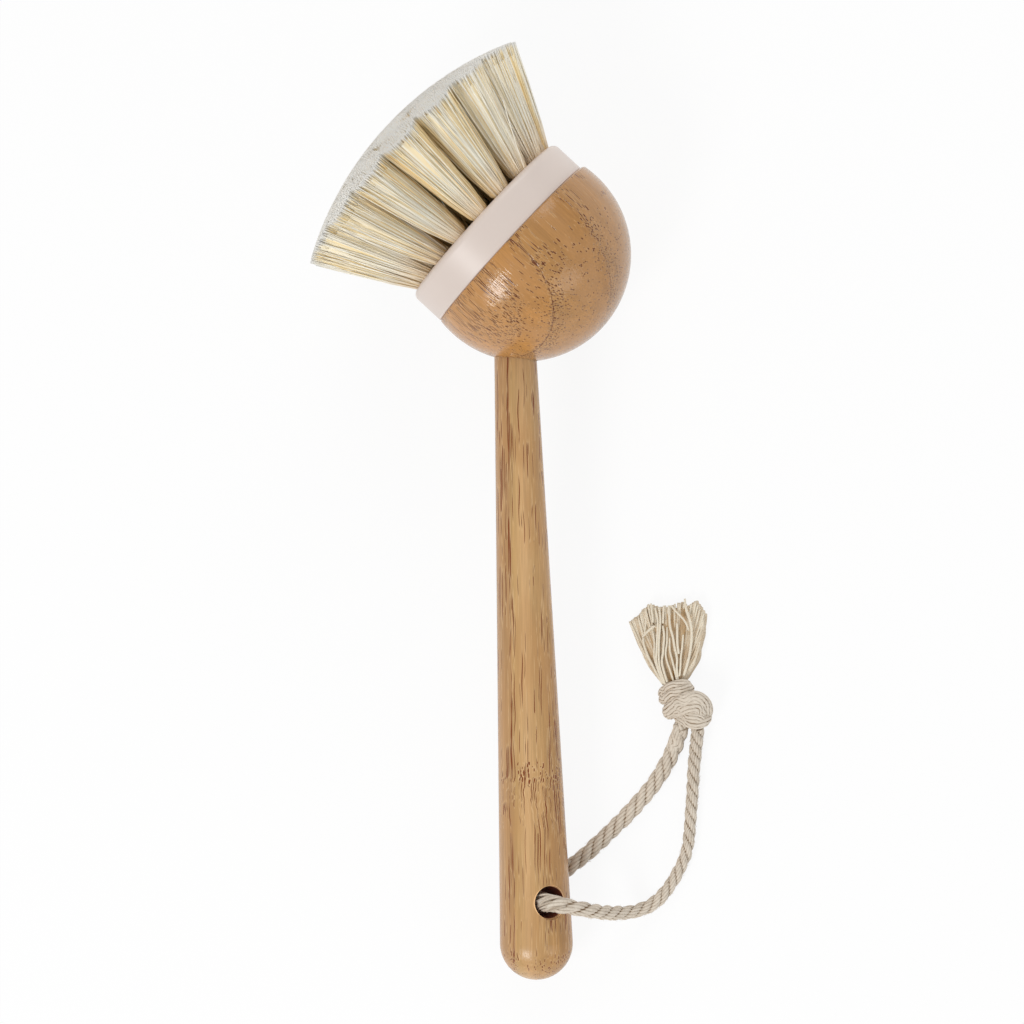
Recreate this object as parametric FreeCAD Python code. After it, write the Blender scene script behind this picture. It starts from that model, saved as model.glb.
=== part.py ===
import FreeCAD, Part
import math
import os

# A long-handled dish brush lying at rest, in millimetres. +Z is up and the surface it lies on is z = 0.
# The handle runs along +Y towards the head. The origin is under the middle of the brush without its cord.
#
# The brush is first made in its own bench frame: the handle's axis is the Y axis with y = 0 at the middle
# of its round end, and the head leans towards -X in the X-Y plane.
# It is then laid down on three contacts: the ball, the lowest bristle tip, and the cord under the handle.

# Handle, turned from one bamboo rod
handle_end_radius = 9.76
handle_neck_radius = 5.65
handle_length = 166.6
tenon_radius = 4.0
tenon_length = 14.0
tenon_chamfer = 0.6
hanging_hole_radius = 4.2
hanging_hole_from_tip = 21.3
hanging_hole_turn = 26.5
hanging_hole_flare_depth = 0.3
hanging_hole_flare_slope = 0.3

# Ball head, turned from laminated bamboo
ball_radius = 28.5
ball_face_offset = 4.47
ball_face_chamfer = 0.35
ball_side_offset = 3.4
head_angle = 45.0
socket_depth_spare = 0.6
neck_seat_gap = 0.25
wood_fit = 0.05

# Bristle block, one moulding of polypropylene
block_radius = 27.6
block_thickness = 10.1
block_front_round = 1.8
block_back_round = 0.4
block_side_shift = 0.5
spigot_radius = 17.0
spigot_length = 4.8
spigot_chamfer = 0.5
recess_spare = 0.2

# Tufts, set in rings of 6, 12 and 18 round one in the middle
tuft_rings = 3
outer_ring_margin = 4.8
ring_start_angle = -2.0
tuft_radius = 1.95
tuft_hole_radius = 2.05
tuft_hole_depth = 6.5
tuft_neck = 1.1
tuft_flare = 6.0
outer_lean = 22.8
trim_height = 35.2
trim_radius = 88.0
tuft_trim_spare = 6.0

# Staples, one flat wire anchor driven into the block under each folded tuft
staple_width = 3.0
staple_height = 3.0
staple_thickness = 0.35
staple_bite = 1.3
staple_slot_gap = 0.06
tuft_fold_gap = 0.1

# Cord of twisted cotton
cord_radius = 2.0
cord_under_handle_gap = 0.3

# The cord's route, from the knot down the front leg, through the handle and back up to the knot
cord_route = [
    (54.1, -57.8, 4.4), (53.4, -61.2, 3.0), (52.7, -65.2, 2.0), (52.1, -70.8, 2.0),
    (51.6, -77.6, 2.0), (50.9, -84.4, 2.0), (50.3, -90.2, 2.0), (47.9, -95.8, 2.0),
    (44.5, -101.2, 2.0), (40.4, -105.2, 2.1), (35.6, -106.9, 4.2), (31.6, -107.1, 9.2),
    (28.2, -106.6, 14.8), (25.0, -105.7, 19.4), (21.9, -104.9, 22.4), (18.2, -104.2, 22.9),
    (15.3, -103.8, 20.7), (12.2, -103.5, 16.6), (9.1, -103.1, 12.1), (5.7, -102.5, 7.1),
    (5.7, -101.2, 4.0), (7.7, -99.6, 2.0), (11.8, -97.8, 2.0), (17.8, -94.8, 2.0),
    (24.0, -89.9, 2.0), (30.2, -84.3, 2.0), (36.0, -78.8, 2.0), (41.2, -73.0, 2.0),
    (44.9, -67.4, 2.0), (47.0, -63.2, 2.0), (48.5, -60.1, 2.9), (49.6, -57.4, 4.1),
]
arc_share = 0.45

# Knot and tassel, on the surface beside the handle
knot_centre = (52.5, -53.3, 5.6)
knot_radius = 5.6
side_turn_centre = (47.6, -53.6, 3.2)
side_turn_radius = 3.0
collar_centre = (47.8, -48.1, 4.3)
collar_length = 5.6
collar_radius = 4.2
collar_round = 2.0
collar_turn = 14.0
leg_pocket_gap = 0.3
# Each station of the fan of loose yarns: middle x, y, half width and half thickness
tassel_stations = [
    (47.3, -45.3, 3.4, 3.3), (46.6, -41.0, 5.3, 3.1), (46.5, -35.5, 7.9, 2.7),
    (46.1, -29.5, 10.3, 2.3), (46.6, -25.0, 9.6, 1.9),
]
tassel_floor_gap = 0.1
tassel_neck_gap = 0.3

vector = FreeCAD.Vector

# How the lying pose is searched: the first guess of up in the bench frame, rounds, and points on each tip
first_up = vector(-0.25, 0.1, 1)
settle_rounds = 40
rim_steps = 72

up_y = vector(0, 1, 0)
view_z = vector(0, 0, 1)
origin = vector(0, 0, 0)


def cylinder(radius, start, direction, length):
    return Part.makeCylinder(radius, length, start, direction)


# Places in the bench frame that several pieces share
lean_axis = vector(-math.sin(math.radians(head_angle)), math.cos(math.radians(head_angle)), 0)
across = vector(lean_axis.y, -lean_axis.x, 0)
shoulder_y = handle_length - handle_end_radius
seat_radius = handle_neck_radius + neck_seat_gap
seat_depth = math.sqrt(ball_radius ** 2 - (ball_side_offset + handle_neck_radius) ** 2)
ball_centre = vector(ball_side_offset, shoulder_y + seat_depth, 0)
face_centre = ball_centre + lean_axis * ball_face_offset - across * block_side_shift
block_front = face_centre + lean_axis * block_thickness
ring_pitch = (block_radius - outer_ring_margin) / tuft_rings
hole_y = hanging_hole_from_tip - handle_end_radius
hole_direction = vector(
    math.sin(math.radians(hanging_hole_turn)), 0, math.cos(math.radians(hanging_hole_turn))
)


def taper_start():
    """Where the straight taper leaves the round end without a corner, as a radius and a height."""
    reach = math.hypot(handle_neck_radius, shoulder_y)
    angle = math.atan2(handle_neck_radius, shoulder_y) + math.acos(handle_end_radius / reach)
    return vector(handle_end_radius * math.sin(angle), handle_end_radius * math.cos(angle), 0)


def handle_radius_at(y):
    start = taper_start()
    share = (y - start.y) / (shoulder_y - start.y)
    return start.x + (handle_neck_radius - start.x) * share


def turned(edges):
    """A closed outline beside the Y axis, turned right round it."""
    return Part.Face(Part.Wire(edges)).revolve(origin, up_y, 360)


def lines(*points):
    return [Part.LineSegment(start, end).toShape() for start, end in zip(points, points[1:])]


def arc_about(centre, start, end):
    """The shorter arc from start to end round a centre."""
    radius = (start - centre).Length
    middle = centre + ((start + end) * 0.5 - centre).normalize() * radius
    return Part.Arc(start, middle, end).toShape()


def make_handle():
    start = taper_start()
    tip = vector(0, -handle_end_radius, 0)
    tenon_top = shoulder_y + tenon_length
    edges = lines(
        start,
        vector(handle_neck_radius, shoulder_y, 0),
        vector(tenon_radius, shoulder_y, 0),
        vector(tenon_radius, tenon_top - tenon_chamfer, 0),
        vector(tenon_radius - tenon_chamfer, tenon_top, 0),
        vector(0, tenon_top, 0),
        tip,
    )
    return turned(edges + [arc_about(origin, tip, start)]).cut(hanging_hole())


def hanging_hole():
    """The drill through the handle, turned with the flare that breaks the edge of each mouth."""
    reach = handle_end_radius * 2
    edge_height = math.sqrt(handle_radius_at(hole_y) ** 2 - hanging_hole_radius ** 2)
    flare_start = edge_height - hanging_hole_flare_depth
    flare_radius = hanging_hole_radius + (reach - flare_start) * hanging_hole_flare_slope
    drill = turned(
        lines(
            vector(0, -reach, 0),
            vector(flare_radius, -reach, 0),
            vector(hanging_hole_radius, -flare_start, 0),
            vector(hanging_hole_radius, flare_start, 0),
            vector(flare_radius, reach, 0),
            vector(0, reach, 0),
            vector(0, -reach, 0),
        )
    )
    drill.Placement = FreeCAD.Placement(vector(0, hole_y, 0), FreeCAD.Rotation(up_y, hole_direction))
    return drill


def make_ball():
    below_chamfer = ball_face_offset - ball_face_chamfer
    equator_side = math.sqrt(ball_radius ** 2 - below_chamfer ** 2)
    face_radius = math.sqrt(ball_radius ** 2 - ball_face_offset ** 2) - ball_face_chamfer
    pole = vector(0, -ball_radius, 0)
    chamfer_start = vector(equator_side, below_chamfer, 0)
    widest = vector(ball_radius, 0, 0)
    face_edge = vector(face_radius, ball_face_offset, 0)
    flat = lines(chamfer_start, face_edge, vector(0, ball_face_offset, 0), pole)
    ball = turned(flat + [arc_about(origin, pole, widest), arc_about(origin, widest, chamfer_start)])
    ball.Placement = FreeCAD.Placement(ball_centre, FreeCAD.Rotation(up_y, lean_axis))
    recess_depth = spigot_length + recess_spare
    recess_floor = face_centre - lean_axis * recess_depth
    recess = cylinder(spigot_radius + wood_fit, recess_floor, lean_axis, recess_depth + ball_radius)
    shoulder = vector(0, shoulder_y, 0)
    seat = cylinder(seat_radius, shoulder, up_y * -1, ball_radius)
    socket = cylinder(tenon_radius + wood_fit, shoulder, up_y, tenon_length + socket_depth_spare)
    return ball.cut(recess).cut(seat).cut(socket)


def tuft_places():
    """Name, mouth of the hole, direction and sideways direction of each tuft, ring by ring."""
    places = [("tuft_centre", block_front, lean_axis, across)]
    ring_names = {1: "inner", 2: "middle", 3: "outer"}
    for ring in range(1, tuft_rings + 1):
        count = 6 * ring
        lean = math.radians(outer_lean * ring / tuft_rings)
        for index in range(count):
            angle = math.radians(ring_start_angle + 360 * index / count)
            outwards = view_z * math.cos(angle) + across * math.sin(angle)
            mouth = block_front + outwards * (ring_pitch * ring)
            direction = lean_axis * math.cos(lean) + outwards * math.sin(lean)
            name = "tuft_%s_%02d" % (ring_names.get(ring, "ring_%d" % ring), index + 1)
            places.append((name, mouth, direction, lean_axis.cross(outwards)))
    return places


trim_centre = block_front + lean_axis * (trim_height - trim_radius)


def reach_of_trim(start, direction):
    """How far a straight filament runs from start to the trimmed dome."""
    offset = start - trim_centre
    along = offset.dot(direction)
    return -along + math.sqrt(along ** 2 - offset.dot(offset) + trim_radius ** 2)


def staple_box(mouth, direction, sideways, grow, bottom, top):
    """A flat upright plate on the tuft's axis, between two depths below the mouth, grown on all sides."""
    normal = direction.cross(sideways)
    half_width = sideways * (staple_width / 2 + grow)
    half_thickness = normal * (staple_thickness / 2 + grow)
    base = mouth - direction * bottom
    corners = [
        base - half_width - half_thickness,
        base + half_width - half_thickness,
        base + half_width + half_thickness,
        base - half_width + half_thickness,
    ]
    face = Part.Face(Part.makePolygon(corners + corners[:1]))
    return face.extrude(direction * (bottom - top))


staple_bottom = tuft_hole_depth + staple_bite
staple_top = staple_bottom - staple_height


def make_block(places):
    front = block_thickness
    side = block_radius
    front_centre = vector(side - block_front_round, front - block_front_round, 0)
    back_centre = vector(side - block_back_round, block_back_round, 0)
    front_start = front_centre + vector(0, block_front_round, 0)
    front_end = front_centre + vector(block_front_round, 0, 0)
    back_start = back_centre + vector(block_back_round, 0, 0)
    back_end = back_centre - vector(0, block_back_round, 0)
    spigot = lines(
        back_end,
        vector(spigot_radius, 0, 0),
        vector(spigot_radius, spigot_chamfer - spigot_length, 0),
        vector(spigot_radius - spigot_chamfer, -spigot_length, 0),
        vector(0, -spigot_length, 0),
        vector(0, front, 0),
        front_start,
    )
    front_corner = arc_about(front_centre, front_start, front_end)
    back_corner = arc_about(back_centre, back_start, back_end)
    block = turned(spigot + [front_corner] + lines(front_end, back_start) + [back_corner])
    turn = FreeCAD.Rotation(up_y, lean_axis)
    block.Placement = FreeCAD.Placement(face_centre, turn)
    cutters = []
    for name, mouth, direction, sideways in places:
        hole_top = tuft_hole_radius * 2
        start = mouth - direction * tuft_hole_depth
        cutters.append(cylinder(tuft_hole_radius, start, direction, tuft_hole_depth + hole_top))
        cutters.append(staple_box(mouth, direction, sideways, staple_slot_gap, staple_bottom, staple_top))
    return block.cut(cutters)


def make_tuft(mouth, direction, sideways):
    """A round bundle that stands straight in its hole, then flares out to the trimmed dome."""
    cone_length = reach_of_trim(mouth, direction) + tuft_trim_spare
    tip_radius = tuft_radius + cone_length * math.tan(math.radians(tuft_flare))
    tip_height = tuft_neck + cone_length
    bottom = vector(0, -tuft_hole_depth, 0)
    bundle = turned(
        lines(
            bottom,
            vector(tuft_radius, -tuft_hole_depth, 0),
            vector(tuft_radius, tuft_neck, 0),
            vector(tip_radius, tip_height, 0),
            vector(0, tip_height, 0),
            bottom,
        )
    )
    bundle.Placement = FreeCAD.Placement(mouth, FreeCAD.Rotation(up_y, direction))
    fold = staple_box(mouth, direction, sideways, tuft_fold_gap, staple_bottom, staple_top - tuft_fold_gap)
    return bundle.common(Part.makeSphere(trim_radius, trim_centre)).cut(fold)


def make_staples(places):
    return Part.makeCompound(
        [
            staple_box(mouth, direction, sideways, 0, staple_bottom, staple_top)
            for name, mouth, direction, sideways in places
        ]
    )


def tip_rim(mouth, direction):
    """Points round the trimmed edge of one tuft."""
    side = direction.cross(view_z + across).normalize()
    other = direction.cross(side)
    flare = math.radians(tuft_flare)
    points = []
    for step in range(rim_steps):
        angle = 2 * math.pi * step / rim_steps
        outwards = side * math.cos(angle) + other * math.sin(angle)
        start = mouth + direction * tuft_neck + outwards * tuft_radius
        slope = direction * math.cos(flare) + outwards * math.sin(flare)
        points.append(start + slope * reach_of_trim(start, slope))
    return points


def resting_up(places):
    """The bench-frame direction that is up once the brush lies on its three contacts."""
    rims = [point for place in places for point in tip_rim(place[1], place[2])]
    up = first_up.normalize()
    for settle in range(settle_rounds):
        ball_touch = ball_centre - up * ball_radius
        tip_touch = min(rims, key=lambda point: point.dot(up))
        down_side = vector(up.x, 0, up.z).normalize()
        under_hole = vector(0, hole_y, 0) - down_side * handle_radius_at(hole_y)
        cord_touch = under_hole - up * (2 * cord_radius + cord_under_handle_gap)
        normal = (tip_touch - ball_touch).cross(cord_touch - ball_touch).normalize()
        up = normal if normal.z > 0 else normal * -1
    return up


def laying_down(up, pieces):
    """The placement that turns the bench frame so that the brush lies on z = 0, centred on the origin."""
    along = (up_y - up * up_y.dot(up)).normalize()
    sideways = along.cross(up)
    matrix = FreeCAD.Matrix(
        sideways.x, sideways.y, sideways.z, 0,
        along.x, along.y, along.z, 0,
        up.x, up.y, up.z, 0,
        0, 0, 0, 1,
    )
    turn = FreeCAD.Placement(matrix)
    laid = Part.makeCompound([placed(piece, turn) for piece in pieces])
    box = laid.optimalBoundingBox(False, False)
    floor = (turn.multVec(ball_centre)).z - ball_radius
    middle = vector((box.XMin + box.XMax) / 2, (box.YMin + box.YMax) / 2, floor)
    return FreeCAD.Placement(middle * -1, FreeCAD.Rotation()).multiply(turn)


def placed(shape, placement):
    copy = shape.copy()
    copy.Placement = placement.multiply(copy.Placement)
    return copy


def cord_path(points):
    """Straight runs joined by arcs that touch them, each as large as its two runs allow."""
    edges = []
    smallest = None
    reached = points[0]
    for before, corner, after in zip(points, points[1:], points[2:]):
        back = (before - corner).normalize()
        ahead = (after - corner).normalize()
        trim = arc_share * min((before - corner).Length, (after - corner).Length)
        half_turn = (math.pi - back.getAngle(ahead)) / 2
        radius = trim / math.tan(half_turn)
        start = corner + back * trim
        end = corner + ahead * trim
        inwards = (back + ahead).normalize()
        middle = corner + inwards * (radius / math.cos(half_turn) - radius)
        edges.append(Part.LineSegment(reached, start).toShape())
        edges.append(Part.Arc(start, middle, end).toShape())
        reached = end
        smallest = radius if smallest is None else min(smallest, radius)
        print("cord radius at (%.1f, %.1f, %.1f): %.1f mm" % (corner.x, corner.y, corner.z, radius))
    edges.append(Part.LineSegment(reached, points[-1]).toShape())
    print("tightest cord radius %.2f mm" % smallest)
    return Part.Wire(edges)


def make_cord(points):
    path = cord_path(points)
    section = Part.Wire(Part.Circle(points[0], points[1] - points[0], cord_radius).toShape())
    tube = path.makePipeShell([section], True, False)
    expected = math.pi * cord_radius ** 2 * path.Length
    share = tube.Volume / expected
    print("cord length %.1f mm, tube volume %.4f of section times length" % (path.Length, share))
    return tube


def make_collar(spare):
    """The round turns of cord that grip the tassel, lying flat and turned from +Y towards -X."""
    length = collar_length + 2 * spare
    roll = Part.makeCylinder(collar_radius + spare, length, vector(0, -length / 2, 0), up_y)
    rims = [edge for edge in roll.Edges if edge.Closed and edge.Curve.TypeId == "Part::GeomCircle"]
    roll = roll.makeFillet(collar_round, rims)
    roll.Placement = FreeCAD.Placement(vector(*collar_centre), FreeCAD.Rotation(view_z, collar_turn))
    return roll


def make_knot(points):
    """The tied mass and its collar, with a flat-bottomed pocket where each leg of the cord goes in."""
    knot = Part.makeSphere(knot_radius, vector(*knot_centre))
    knot = knot.fuse(Part.makeSphere(side_turn_radius, vector(*side_turn_centre))).fuse(make_collar(0))
    for end, before in ((points[0], points[1]), (points[-1], points[-2])):
        outwards = (before - end).normalize()
        knot = knot.cut(cylinder(cord_radius + leg_pocket_gap, end, outwards, knot_radius * 2))
    return knot


def make_tassel():
    """A flat fan of loose yarns, lofted through ellipses that stand on the surface."""
    rings = []
    for x, y, half_width, half_thickness in tassel_stations:
        centre = vector(x, y, half_thickness + tassel_floor_gap)
        side = centre + vector(half_width, 0, 0)
        top = centre + vector(0, 0, half_thickness)
        rings.append(Part.Wire(Part.Ellipse(side, top, centre).toShape()))
    return Part.makeLoft(rings, True, False)


def main():
    places = tuft_places()
    bench = {
        "handle": make_handle(),
        "ball_head": make_ball(),
        "bristle_block": make_block(places),
        "tuft_staples": make_staples(places),
    }
    for name, mouth, direction, sideways in places:
        bench[name] = make_tuft(mouth, direction, sideways)
    placement = laying_down(resting_up(places), bench.values())
    parts = {name: placed(shape, placement) for name, shape in bench.items()}
    points = [vector(*point) for point in cord_route]
    parts["hanging_cord"] = make_cord(points)
    parts["cord_knot"] = make_knot(points)
    parts["cord_tassel"] = make_tassel().cut(make_collar(tassel_neck_gap))
    os.makedirs("parts", exist_ok=True)
    for name, shape in parts.items():
        shape.exportStep("parts/%s.step" % name)
        if not shape.isValid():
            print("not valid:", name)


main()
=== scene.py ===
import math

import bpy
import numpy as np
from mathutils import Matrix


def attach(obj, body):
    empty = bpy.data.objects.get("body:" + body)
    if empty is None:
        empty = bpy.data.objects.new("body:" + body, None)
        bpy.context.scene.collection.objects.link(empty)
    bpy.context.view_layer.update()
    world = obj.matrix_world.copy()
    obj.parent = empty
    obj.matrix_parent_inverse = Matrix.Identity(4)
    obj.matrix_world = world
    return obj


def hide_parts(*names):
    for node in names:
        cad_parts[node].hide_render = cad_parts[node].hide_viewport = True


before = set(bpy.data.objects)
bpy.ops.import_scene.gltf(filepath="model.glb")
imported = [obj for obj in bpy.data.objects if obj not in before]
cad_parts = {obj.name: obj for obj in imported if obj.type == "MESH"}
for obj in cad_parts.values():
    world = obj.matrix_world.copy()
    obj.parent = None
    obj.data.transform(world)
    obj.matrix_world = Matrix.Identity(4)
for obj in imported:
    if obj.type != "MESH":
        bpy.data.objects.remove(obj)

# A long-handled dish brush on a pale floor. Shapes are worked out in millimetres, and MM takes them to metres.
MM = 0.001
dice = np.random.default_rng(7)
bpy.context.scene.view_settings.view_transform = "Standard"


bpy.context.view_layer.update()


# ---- Places on the brush, repeated from the part's source

# In the brush's own frame the handle runs along Y and the head leans to -X. UP is up in that frame as the brush
# lies, on its ball, its lowest bristles and the cord, and HANDLE_END is where the handle's round end then is.
UP = np.array((-0.239050, 0.090474, 0.966783))
FORWARD = np.array((0.0, 1.0, 0.0)) - UP * UP[1]
FORWARD /= np.linalg.norm(FORWARD)
LAID_DOWN = np.array((np.cross(FORWARD, UP), FORWARD, UP))
HANDLE_END = np.array((10.70103, -114.70280, 12.67784))

BALL_CENTRE = np.array((3.4, 183.865, 0.0))
LEAN = np.array((-math.sqrt(0.5), math.sqrt(0.5), 0.0))
ACROSS = np.array((math.sqrt(0.5), math.sqrt(0.5), 0.0))
SQUARE = np.array((0.0, 0.0, 1.0))
BLOCK_FRONT = BALL_CENTRE + LEAN * (4.47 + 10.1) - ACROSS * 0.5
RINGS = {"inner": 1, "middle": 2, "outer": 3}
RING_PITCH = 7.6
RING_START = math.radians(-2.0)
OUTER_LEAN = math.radians(22.8)
TUFT_RADIUS = 1.95
TRIM_HEIGHT = 35.2
TRIM_RADIUS = 88.0
TRIM_CENTRE = BLOCK_FRONT + LEAN * (TRIM_HEIGHT - TRIM_RADIUS)


def laid_down(points):
    """Points of the brush's own frame, turned and moved to where they lie in the row frame, in millimetres."""
    return np.asarray(points, float) @ LAID_DOWN.T + HANDLE_END


# ---- Camera, square to the plane in which handle and head lie, a metre above it

CAMERA_PLACE = (-2.396, 115.339, 1000.0)
CAMERA_TURN = math.radians(2.05)
CAMERA_LENS = 131.55
PHOTO_RIGHT = np.array((math.cos(CAMERA_TURN), -math.sin(CAMERA_TURN), 0.0))
PHOTO_UP = np.array((math.sin(CAMERA_TURN), math.cos(CAMERA_TURN), 0.0))


def matrix_at(place, right, up, back):
    """The matrix of a camera or lamp at a place in the row frame, with its own axes given in the brush's frame."""
    turn = np.array((right, up, back)) @ LAID_DOWN.T
    matrix = Matrix([list(row) for row in turn.T]).to_4x4()
    matrix.translation = place * MM
    return matrix


camera = bpy.data.objects.new("camera", bpy.data.cameras.new("camera"))
camera.data.lens = CAMERA_LENS
camera.data.sensor_width = 36.0
camera.data.clip_start = 0.01
camera.data.clip_end = 20.0
camera.matrix_world = matrix_at(laid_down(CAMERA_PLACE), PHOTO_RIGHT, PHOTO_UP, SQUARE)
bpy.context.scene.collection.objects.link(camera)
bpy.context.scene.camera = camera


# ---- Shapes

def steady_direction(paths):
    """Of 400 directions spread over a sphere, the one that no tangent of the paths comes near to."""
    index = np.arange(400) + 0.5
    height = 1 - index / 200
    turn = index * math.pi * (3 - math.sqrt(5))
    flat = np.sqrt(1 - height**2)
    spread = np.stack((flat * np.cos(turn), flat * np.sin(turn), height), -1)
    tangents = np.diff(paths, axis=-2).reshape(-1, 3)
    tangents /= np.linalg.norm(tangents, axis=1, keepdims=True)
    return spread[np.abs(spread @ tangents.T).max(1).argmin()]


def frames_along(paths, steady):
    """At each station the tangent, the steady direction less its part along the tangent, and their cross product."""
    tangent = np.gradient(paths, axis=-2)
    tangent /= np.linalg.norm(tangent, axis=-1, keepdims=True)
    normal = steady - (tangent @ steady)[..., None] * tangent
    normal /= np.linalg.norm(normal, axis=-1, keepdims=True)
    return tangent, normal, np.cross(tangent, normal)


def tubes(paths, radius, sides, steady, marks):
    """Tubes round paths of shape (tubes, stations, 3): at station s and angle a the surface is
    path(s) + radius(s, a) (cos a normal(s) + sin a binormal(s)), and a flat face closes each end.
    Marks are values of shape (tubes, stations, sides) by name. Gives points, faces and marks."""
    count, stations = paths.shape[:2]
    normal, binormal = frames_along(paths, steady)[1:]
    angle = np.arange(sides) * (2 * math.pi / sides)
    ring = normal[:, :, None] * np.cos(angle)[:, None] + binormal[:, :, None] * np.sin(angle)[:, None]
    reach = np.broadcast_to(radius, (count, stations, sides))[..., None]
    points = paths[:, :, None] + reach * ring
    index = np.arange(count * stations * sides).reshape(count, stations, sides)
    onward = np.roll(index, -1, 2)
    quads = np.stack((index[:, :-1], onward[:, :-1], onward[:, 1:], index[:, 1:]), -1).reshape(-1, 4)
    ends = np.concatenate((index[:, 0, ::-1], index[:, -1]))
    faces = quads.tolist() + ends.tolist()
    shaped = {name: np.broadcast_to(value, index.shape).ravel() for name, value in marks.items()}
    return points.reshape(-1, 3), faces, shaped


def make_piece(name, shapes, material):
    """One object from several (points in millimetres, faces, marks), with each mark as an attribute of its points."""
    points = []
    faces = []
    start = 0
    for shape_points, shape_faces, _ in shapes:
        points.append(shape_points)
        faces += [[corner + start for corner in face] for face in shape_faces]
        start += len(shape_points)
    mesh = bpy.data.meshes.new(name)
    mesh.from_pydata((np.concatenate(points) * MM).tolist(), [], faces)
    # The flat ends of tubes stay flat
    mesh.polygons.foreach_set("use_smooth", np.array([len(face) == 4 for face in faces]))
    for mark in shapes[0][2]:
        values = np.concatenate([shape[2][mark] for shape in shapes]).astype(np.float32)
        mesh.attributes.new(mark, "FLOAT", "POINT").data.foreach_set("value", values)
    mesh.materials.append(material)
    mesh.update()
    piece = bpy.data.objects.new(name, mesh)
    bpy.context.scene.collection.objects.link(piece)
    return piece


def smooth_line(control_points, stations):
    """Points evenly spaced along the NURBS spline of order 3 that has these control points, in their unit."""
    curve = bpy.data.curves.new("line", "CURVE")
    curve.dimensions = "3D"
    curve.resolution_u = 24
    spline = curve.splines.new("NURBS")
    spline.points.add(len(control_points) - 1)
    weighted = np.column_stack((control_points, np.ones(len(control_points))))
    spline.points.foreach_set("co", weighted.ravel())
    spline.order_u = 3
    spline.use_endpoint_u = True
    holder = bpy.data.objects.new("line", curve)
    mesh = bpy.data.meshes.new_from_object(holder)
    flat = np.empty(len(mesh.vertices) * 3)
    mesh.vertices.foreach_get("co", flat)
    line = flat.reshape(-1, 3)
    bpy.data.meshes.remove(mesh)
    bpy.data.objects.remove(holder)
    bpy.data.curves.remove(curve)
    along = np.concatenate(([0.0], np.cumsum(np.linalg.norm(np.diff(line, axis=0), axis=1))))
    wanted = np.linspace(0, along[-1], stations)
    return np.stack([np.interp(wanted, along, line[:, axis]) for axis in range(3)], -1)


# ---- Materials

def colour(sheet):
    """An sRGB colour such as "#DED0C8", or a plain grey level, as the linear colour that a shader takes."""
    if not isinstance(sheet, str):
        return (sheet, sheet, sheet, 1.0)
    levels = np.array([int(sheet[at : at + 2], 16) / 255 for at in (1, 3, 5)])
    linear = np.where(levels <= 0.04045, levels / 12.92, ((levels + 0.055) / 1.055) ** 2.4)
    return (*linear.tolist(), 1.0)


def add_node(tree, kind, inputs=None, stops=None, **settings):
    """Adds a shader node, named by its kind without the prefix, sets its settings and colour stops, and fills its
    inputs with values, with the first output of other nodes, or with given outputs."""
    node = tree.nodes.new("ShaderNode" + kind)
    for key, value in settings.items():
        setattr(node, key, value)
    for key, value in (inputs or {}).items():
        if isinstance(value, bpy.types.Node):
            value = value.outputs[0]
        if isinstance(value, bpy.types.NodeSocket):
            tree.links.new(value, node.inputs[key])
        else:
            node.inputs[key].default_value = value
    if stops:
        elements = node.color_ramp.elements
        while len(elements) < len(stops):
            elements.new(1.0)
        for element, (position, sheet) in zip(elements, stops):
            element.position = position
            element.color = colour(sheet)
    return node


def new_material(name):
    material = bpy.data.materials.new(name)
    material.use_nodes = True
    tree = material.node_tree
    tree.nodes.clear()
    shader = add_node(tree, "BsdfPrincipled")
    add_node(tree, "OutputMaterial", {0: shader})
    return material, tree, shader


def grain_places(tree, first, second, along, zero):
    """Object coordinates as millimetres in a grain's own frame: two directions across it and the one along it.
    The directions and the zero point are given in the brush's own frame."""
    turn = np.array((first, second, along)) @ LAID_DOWN.T
    shift = -turn @ laid_down(zero)
    mapping = {
        "Vector": add_node(tree, "TexCoord").outputs["Object"],
        "Location": shift.tolist(),
        "Rotation": Matrix(turn.tolist()).to_euler("XYZ"),
        "Scale": (1 / MM, 1 / MM, 1 / MM),
    }
    return add_node(tree, "Mapping", mapping)


def stops_over(low, high, points):
    """Ramp stops for a quantity that runs from low to high, from (quantity, value) pairs."""
    return [((at - low) / (high - low), value) for at, value in points]


# How bamboo is patterned: cycles per millimetre in the two directions across the grain and along it, and detail
WOOD_PATTERNS = {
    "fibres": ((2.4, 2.4, 0.06), 2.0),
    "bands": ((0.3, 0.3, 0.014), 1.0),
    "blotches": ((0.13, 0.13, 0.05), 1.0),
    "clusters": ((0.22, 0.22, 0.07), 1.0),
    "sway": ((0.3, 0.3, 0.13), 0.0),
    "ragged": ((0.5, 0.5, 0.45), 0.0),
}
FLECK_PITCH, FLECK_LENGTH = 0.5, 1.8
# Pale rims round the bundles: partly the pale tissue round them, partly a painted highlight
SHEATH_AND_GLINT_COLOUR = "#EAC898"
# Painted shade inside the hanging hole, and painted light on its edge
BORE_SHADE_COLOUR = "#7A3C28"
BORE_EDGE_LIGHT_COLOUR = "#F4C490"


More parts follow.
